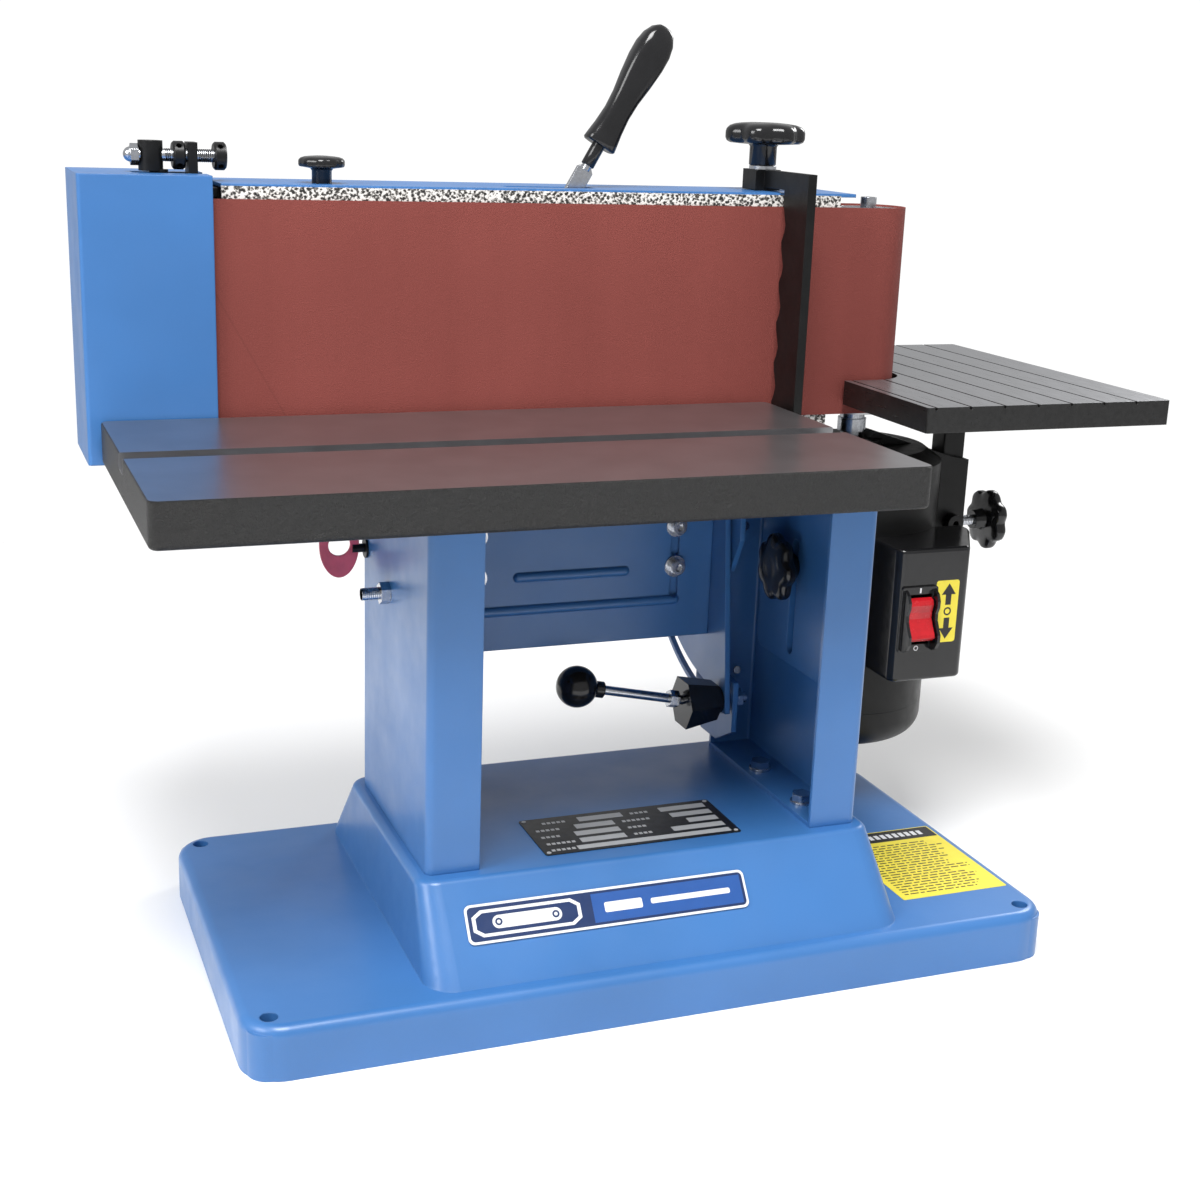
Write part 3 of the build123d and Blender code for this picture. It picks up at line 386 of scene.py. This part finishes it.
def basis(origin, u, v):
    """Matrix of a flat patch: u along its width, v up its height, normal outwards."""
    u = Vector(u).normalized()
    v = Vector(v).normalized()
    n = u.cross(v)
    place = Matrix((u, v, n)).transposed().to_4x4()
    place.translation = Vector(origin) * MM
    return place


def add_prism(bm, outline, low, high, place, material):
    """A closed prism over an outline in the patch's own plane, sizes in mm."""
    rings = [[bm.verts.new(place @ Vector((x * MM, y * MM, z * MM))) for x, y in outline]
             for z in (low, high)]
    faces = [bm.faces.new(list(reversed(rings[0]))), bm.faces.new(rings[1])]
    for i in range(len(outline)):
        j = (i + 1) % len(outline)
        faces.append(bm.faces.new((rings[0][i], rings[0][j], rings[1][j], rings[1][i])))
    for face in faces:
        face.material_index = material


def oblong(x0, y0, x1, y1):
    """Outline of a box."""
    return [(x0, y0), (x1, y0), (x1, y1), (x0, y1)]


def octagon(x0, y0, x1, y1, cut_x, cut_y):
    """Outline of a box with its corners cut off."""
    return [(x0 + cut_x, y0), (x1 - cut_x, y0), (x1, y0 + cut_y), (x1, y1 - cut_y),
            (x1 - cut_x, y1), (x0 + cut_x, y1), (x0, y1 - cut_y), (x0, y0 + cut_y)]


def rounded(x0, y0, x1, y1, r, steps=6):
    """Outline of a box with round corners."""
    points = []
    for cx, cy, start in ((x1 - r, y1 - r, 0), (x0 + r, y1 - r, 90),
                          (x0 + r, y0 + r, 180), (x1 - r, y0 + r, 270)):
        for i in range(steps + 1):
            a = math.radians(start + 90 * i / steps)
            points.append((cx + r * math.cos(a), cy + r * math.sin(a)))
    return points


def ring_band(bm, centre, r_out, r_in, low, high, place, material, count):
    """A flat ring in the patch's own plane, as short prisms side by side."""
    for i in range(count):
        a0, a1 = (2 * math.pi * k / count for k in (i, i + 1))
        outline = [(centre[0] + r * math.cos(a), centre[1] + r * math.sin(a))
                   for r, a in ((r_in, a0), (r_out, a0), (r_out, a1), (r_in, a1))]
        add_prism(bm, outline, low, high, place, material)


def circle(bm, radius_at, z, count):
    """One ring of points round the Z axis, radius_at(angle) from it, sizes in mm."""
    ring = []
    for i in range(count):
        a = 2 * math.pi * i / count
        r = radius_at(a)
        ring.append(bm.verts.new((r * math.cos(a) * MM, r * math.sin(a) * MM, z * MM)))
    return ring


def skin(bm, rings):
    """Closes a row of equal rings into one solid surface with flat ends."""
    count = len(rings[0])
    for a, b in zip(rings, rings[1:]):
        for i in range(count):
            j = (i + 1) % count
            bm.faces.new((a[i], a[j], b[j], b[i]))
    bm.faces.new(list(reversed(rings[0])))
    bm.faces.new(rings[-1])


def stand_on(bm, start, axis):
    """Turns a bmesh built up the Z axis so that it runs from start (m) along axis."""
    turn = axis.to_track_quat("Z", "Y").to_matrix().to_4x4()
    turn.translation = start
    bmesh.ops.transform(bm, matrix=turn, verts=bm.verts)


# ------------------------------------------------------------------ labels
def name_plate():
    """White-edged plate on the plinth's front slope: plain emblem and a blue bar."""
    white, navy, blue = 0, 1, 2
    width, height, edge = 192, 25, 1.6
    place = basis((-134.5, -118.6, 56.6), RIGHT, PLINTH_SLOPE)
    bm = bmesh.new()
    add_prism(bm, rounded(0, 0, width, height, 4), 0.0, 0.5, place, white)
    add_prism(bm, rounded(edge, edge, width - edge, height - edge, 3), 0.5, 0.62, place, navy)
    add_prism(bm, oblong(84, 3.2, 188.5, 21.8), 0.62, 0.7, place, blue)
    add_prism(bm, octagon(4, 4, 76, 21, 6, 4), 0.62, 0.74, place, white)
    add_prism(bm, octagon(6.4, 6, 73.6, 19, 4.6, 3), 0.74, 0.8, place, navy)
    add_prism(bm, rounded(17, 8.3, 63, 16.7, 4.1), 0.8, 0.88, place, white)
    for x in (21.1, 58.9):
        ring_band(bm, (x, height / 2), 2.4, 1.2, 0.88, 0.94, place, navy, 24)
    for x0, x1, y0, y1 in ((92, 118, 9.0, 15.5), (124, 180, 10.6, 14.2)):
        add_prism(bm, rounded(x0, y0, x1, y1, 1.2), 0.7, 0.78, place, white)
    return settle(bm, "name_plate", "base", [ink["white"], ink["navy"], ink["bar_blue"]])


def rating_plate():
    """Black plate with silver fields on the plinth's top, no wording."""
    black, silver = 0, 1
    width, height, thick = 140.0, 58.0, 0.6
    place = basis((-70.0, -75.5, PLINTH_TOP_Z), RIGHT, (0, 1, 0))
    bm = bmesh.new()
    add_prism(bm, rounded(0, 0, width, height, 2), 0.0, thick, place, black)
    fields = [(40, 46, 72, 53), (100, 46, 134, 53), (34, 35, 62, 42), (104, 35, 134, 42), (30, 24, 62, 31),
              (112, 24, 134, 31), (30, 13, 62, 20), (96, 13, 134, 20), (24, 3, 134, 9)]
    for field in fields:
        add_prism(bm, oblong(*field), thick, 0.66, place, silver)
    words = [(14, 49), (78, 49), (6, 38), (68, 38), (6, 27), (68, 27), (6, 16), (68, 16), (6, 6)]
    mark_w, mark_h, pitch = 2.4, 3.0, 3.5
    for x, y in words:
        for k in range(random.randint(4, 6)):
            x0 = x + k * pitch
            add_prism(bm, oblong(x0, y - mark_h / 2, x0 + mark_w, y + mark_h / 2), thick, 0.64, place, silver)
    for x in (3, width - 3):
        for y in (3, height - 3):
            ring_band(bm, (x, y), 1.5, 0.3, thick, 1.0, place, silver, 16)
    return settle(bm, "rating_plate", "base", [ink["black"], ink["silver"]])


def notice_label():
    """Yellow notice with a black heading on the base flange, bars for lines of print."""
    yellow, black, white = 0, 1, 2
    width, height, film = 84.0, 110.0, 0.15
    heading_y, line_pitch, line_h, gap = 92.0, 3.9, 1.3, 1.6
    place = basis((186.0, -101.0, FLANGE_TOP_Z), RIGHT, (0, 1, 0))
    bm = bmesh.new()
    add_prism(bm, rounded(0, 0, width, height, 1.5), 0.0, film, place, yellow)
    add_prism(bm, oblong(1, heading_y, width - 1, height - 1), film, 0.2, place, black)
    x = 8.0
    while x < width - 10:
        add_prism(bm, oblong(x, 97, x + 3.4, 104), 0.2, 0.24, place, white)
        x += 5.2
    y = heading_y - 6
    while y > 6:
        x = 5.0
        end = width - random.uniform(4, 26)
        while x < end:
            step = random.uniform(2.5, 8.0)
            add_prism(bm, oblong(x, y - line_h, min(x + step, end), y), film, 0.19, place, black)
            x += step + gap
        y -= line_pitch
    return settle(bm, "notice_label", "base", [ink["yellow"], ink["black"], ink["white"]])


def switch_marks():
    """Yellow arrow label beside the rocker and plain on and off marks on the bezel."""
    yellow, black, white = 0, 1, 2
    low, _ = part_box("switch_box")
    width, height, film, print_z = 19.5, 48, 0.2, 0.26
    middle = 11                         # of the arrows, from the label's left edge
    label = basis((SWITCH_X + 14.8, low.y / MM, SWITCH_Z - 20), RIGHT, UP)
    bm = bmesh.new()
    add_prism(bm, rounded(0, 0, width, height, 2), 0.0, film, label, yellow)
    for tip, foot in ((45.5, 37), (2.5, 11)):
        add_prism(bm, [(middle, tip), (middle - 6, foot), (middle + 6, foot)], film, print_z, label, black)
    for z0, z1 in ((29, 37.2), (10.8, 19)):
        add_prism(bm, oblong(middle - 2.4, z0, middle + 2.4, z1), film, print_z, label, black)
    ring_band(bm, (middle, height / 2), 3.2, 2.0, film, print_z, label, black, 28)
    marks = basis((SWITCH_X, BEZEL_FACE_Y, SWITCH_Z), RIGHT, UP)
    add_prism(bm, oblong(-0.7, 20.3, 0.7, 24.1), 0.0, 0.15, marks, white)
    ring_band(bm, (0, -22.2), 2.0, 1.2, 0.0, 0.15, marks, white, 32)
    return settle(bm, "switch_marks", "head", [ink["yellow"], ink["black"], ink["white"]])


# ------------------------------------------------- knobs, threads and grip
def lobed_knob(name, node, body, axis, radius, head, hub_r, hub, lobes, depth=0.10, rise=0.0):
    """Moulded star grip over a CAD knob: fluted rim, rounded shoulders, domed cap.

    The hub runs from rise to hub, counted from the end of the CAD knob, and the head
    stands on it. depth sets how far the flutes cut into the rim.
    """
    low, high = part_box(node)
    profile = [(hub_r * 0.55, rise), (hub_r * 0.94, rise), (hub_r, rise + 0.6), (hub_r, hub - 1.6),
               (hub_r + 1.0, hub - 0.2), (radius * 0.62, hub + 0.2), (radius * 0.88, hub + 0.8),
               (radius * 0.965, hub + head * 0.14), (radius, hub + head * 0.28), (radius, hub + head * 0.56),
               (radius * 0.975, hub + head * 0.70), (radius * 0.90, hub + head * 0.83),
               (radius * 0.76, hub + head * 0.92), (radius * 0.56, hub + head * 0.97),
               (radius * 0.34, hub + head * 1.0), (radius * 0.30, hub + head * 0.97),
               (radius * 0.05, hub + head * 0.97)]
    bm = bmesh.new()
    rings = []
    for r, z in profile:
        weight = min(1.0, max(0.0, (r / radius - 0.55) / 0.3))

        def fluted(a):
            return r * (1.0 - weight * depth * 1.35 * (0.5 - 0.5 * math.cos(lobes * a)) ** 1.5)

        rings.append(circle(bm, fluted, z, lobes * 18))
    skin(bm, rings)
    start = (low + high) / 2
    for k in range(3):
        if axis[k]:
            start[k] = low[k] if axis[k] > 0 else high[k]
    stand_on(bm, start, Vector(axis))
    piece = settle(bm, name, body, [looks["black_plastic"]], 50.0)
    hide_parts(node)
    return piece


def threaded(name, body, start, end, radius, pitch, slot="bright_steel"):
    """Rolled thread over a plain stud: a helical ridge on a closed sleeve."""
    start, end = Vector(start), Vector(end)
    length = (end - start).length
    rows_per_turn = 6
    rows = int(length / pitch * rows_per_turn)
    bm = bmesh.new()
    rings = []
    for k in range(rows + 1):
        z = length * k / rows
        fade = min(1.0, z / pitch, (length - z) / pitch)

        def helix(a):
            phase = (z / pitch - a / (2 * math.pi)) % 1.0
            ridge = 1.0 - abs(2.0 * phase - 1.0)
            return radius - 0.12 + 0.38 * ridge * fade

        rings.append(circle(bm, helix, z, 28))
    skin(bm, rings)
    stand_on(bm, start * MM, end - start)
    return settle(bm, name, body, [looks[slot]], 60.0)


def grip_section(s):
    """Half width and half depth of the lever's grip at height s from its foot, in mm."""
    if s < 0:
        radius = SLEEVE_R - (0.5 if s == -SLEEVE_L else 0.0)
        return radius, radius
    stations = [(0, 11.2, 8.0), (1, 12.0, 8.8), (5, 11.5, 8.6), (14, 10.2, 8.0), (26, 9.2, 7.8),
                (38, 9.7, 8.2), (52, 11.6, 9.4), (66, 12.9, 10.4), (76, 12.9, 10.4), (84, 11.4, 9.2),
                (90, 8.4, 6.8), (93, 4.9, 4.2), (94, 0.8, 0.8)]
    for (s0, w0, d0), (s1, w1, d1) in zip(stations, stations[1:]):
        if s <= s1:
            t = (s - s0) / (s1 - s0)
            return w0 + (w1 - w0) * t, d0 + (d1 - d0) * t
    return stations[-1][1:]


def grip():
    """Waisted lever grip with flattened flanks and domed end, on its round sleeve."""
    along = Vector((math.sin(LEVER_LEAN), 0, math.cos(LEVER_LEAN)))
    side = Vector((math.cos(LEVER_LEAN), 0, -math.sin(LEVER_LEAN)))
    back = Vector((0, 1, 0))
    around = 40
    heights = [-SLEEVE_L, 0.4 - SLEEVE_L, -2, -0.01, 0, 0.4, 1, 5, 9.5, 14, 20, 26, 32, 38, 45, 52, 59,
               66, 71, 76, 80, 84, 87, 90, 91.5, 93, 93.7, 94]
    bm = bmesh.new()
    rings = []
    for s in heights:
        half_w, half_d = grip_section(s)
        power = 2.0 / 3.1 if s >= 0 else 1.0        # flattened grip, round sleeve
        middle = Vector(LEVER_PIVOT) + along * (GRIP_FOOT + s)
        ring = []
        for i in range(around):
            a = 2 * math.pi * i / around
            x = half_w * math.copysign(abs(math.cos(a)) ** power, math.cos(a))
            y = half_d * math.copysign(abs(math.sin(a)) ** power, math.sin(a))
            ring.append(bm.verts.new((middle + side * x + back * y) * MM))
        rings.append(ring)
    skin(bm, rings)
    piece = settle(bm, "grip_moulding", "lever", [looks["black_plastic"]], 60.0)
    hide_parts("lever_grip")
    return piece


name_plate()
rating_plate()
notice_label()
switch_marks()
lobed_knob("stop_star", "stop_knob", "stop_clamp", UP,
           radius=30.0, head=15.5, hub_r=10.0, hub=15.0, lobes=7)
lobed_knob("cover_star", "cover_knob", "cover_clamp", UP,
           radius=15.5, head=8.0, hub_r=6.6, hub=20.0, lobes=10, depth=0.02)
lobed_knob("end_table_star", "aux_knob", "end_table_clamp", RIGHT,
           radius=24.5, head=13.0, hub_r=8.0, hub=27.0, lobes=7, rise=18.0)
for hand, inward in (("right", LEFT), ("left", RIGHT)):
    lobed_knob("table_star_" + hand, "table_knob_" + hand, "table_clamp_" + hand, inward,
               radius=24.5, head=11.0, hub_r=9.0, hub=9.0, lobes=7)
grip()
for hand, x0, x1 in (("left", -158.5, -171.0), ("right", 158.5, 171.0)):
    threaded("stud_thread_" + hand, "base", (x0, STUD_Y, STUD_Z), (x1, STUD_Y, STUD_Z), 4.0, 1.25)
threaded("end_table_thread", "end_table_clamp", (346.0, AXIS_Y, END_SCREW_Z), (366.5, AXIS_Y, END_SCREW_Z),
         3.95, 1.5)
for name, x0, x1 in (("tracking_thread_a", -272.4, -267.1), ("tracking_thread_b", -251.5, -240.8)):
    threaded(name, "carriage", (x0, AXIS_Y, TRACKING_Z), (x1, AXIS_Y, TRACKING_Z), 4.0, 1.25, "black_oxide")

# --------------------------------------------- camera, light and floor (m)
CAMERA_AT = (-0.42934, -1.0611, 0.56381)
YAW, PITCH, ROLL = (math.radians(a) for a in (21.59, 15.96, 2.14))
LENS_MM = 52.727
SENSOR_MM = 36.0
FILL_LIGHT = 0.50
BACKDROP = 1.05
MACHINE_MIDDLE = (0.0, 0.0, 0.35)
FLOOR_HALF = 1.2


def add_camera():
    """Camera at the viewing angle, looking down a little and rolled slightly."""
    forward = Vector((math.sin(YAW) * math.cos(PITCH), math.cos(YAW) * math.cos(PITCH), -math.sin(PITCH)))
    right = Vector((math.cos(YAW), -math.sin(YAW), 0.0))
    up = right.cross(forward)
    x_axis = math.cos(ROLL) * right + math.sin(ROLL) * up
    y_axis = -math.sin(ROLL) * right + math.cos(ROLL) * up
    data = bpy.data.cameras.new("camera")
    data.lens = LENS_MM
    data.sensor_width = SENSOR_MM
    data.clip_start = 0.01
    cam = bpy.data.objects.new("camera", data)
    cam.matrix_world = Matrix((
        (x_axis.x, y_axis.x, -forward.x, CAMERA_AT[0]),
        (x_axis.y, y_axis.y, -forward.y, CAMERA_AT[1]),
        (x_axis.z, y_axis.z, -forward.z, CAMERA_AT[2]),
        (0, 0, 0, 1)))
    bpy.context.scene.collection.objects.link(cam)
    bpy.context.scene.camera = cam


def add_area(name, place, aim, size, watts):
    """Square soft light at place, facing aim."""
    data = bpy.data.lights.new(name, "AREA")
    data.size = size
    data.energy = watts
    lamp = bpy.data.objects.new(name, data)
    lamp.location = place
    lamp.rotation_euler = (Vector(aim) - Vector(place)).to_track_quat("-Z", "Y").to_euler()
    bpy.context.scene.collection.objects.link(lamp)


def add_world():
    """White backdrop as the camera sees it, and a dimmer even light from all round."""
    world = bpy.data.worlds.new("studio")
    world.use_nodes = True
    tree = world.node_tree
    fill = tree.nodes["Background"]
    seen = tree.nodes.new("ShaderNodeBackground")
    for node, strength in ((fill, FILL_LIGHT), (seen, BACKDROP)):
        node.inputs["Color"].default_value = (1.0, 1.0, 1.0, 1.0)
        node.inputs["Strength"].default_value = strength
    path = tree.nodes.new("ShaderNodeLightPath")
    mix = tree.nodes.new("ShaderNodeMixShader")
    tree.links.new(path.outputs["Is Camera Ray"], mix.inputs["Fac"])
    tree.links.new(fill.outputs["Background"], mix.inputs[1])
    tree.links.new(seen.outputs["Background"], mix.inputs[2])
    tree.links.new(mix.outputs["Shader"], tree.nodes["World Output"].inputs["Surface"])
    bpy.context.scene.world = world
    bpy.context.scene.view_settings.view_transform = "Standard"


def add_floor():
    """Plain pale floor."""
    mesh = bpy.data.meshes.new("floor")
    bm = bmesh.new()
    bmesh.ops.create_grid(bm, x_segments=2, y_segments=2, size=FLOOR_HALF)
    bm.to_mesh(mesh)
    bm.free()
    floor = bpy.data.objects.new("floor", mesh)
    bpy.context.scene.collection.objects.link(floor)
    s = Shader("floor_white")
    pale = s.ramp(s.noise(2.0), [(0.3, (0.92, 0.92, 0.92)), (0.7, (0.94, 0.94, 0.94))])
    mesh.materials.append(s.set(Base_Color=pale, Roughness=0.55))


add_camera()
add_world()
add_area("key", (-0.35, -0.9, 2.3), MACHINE_MIDDLE, 1.0, 60.0)
add_area("side", (-1.7, -0.5, 1.3), MACHINE_MIDDLE, 0.9, 22.0)
add_area("back", (1.6, 0.9, 1.3), (0.2, -0.05, 0.35), 0.6, 12.0)
add_floor()
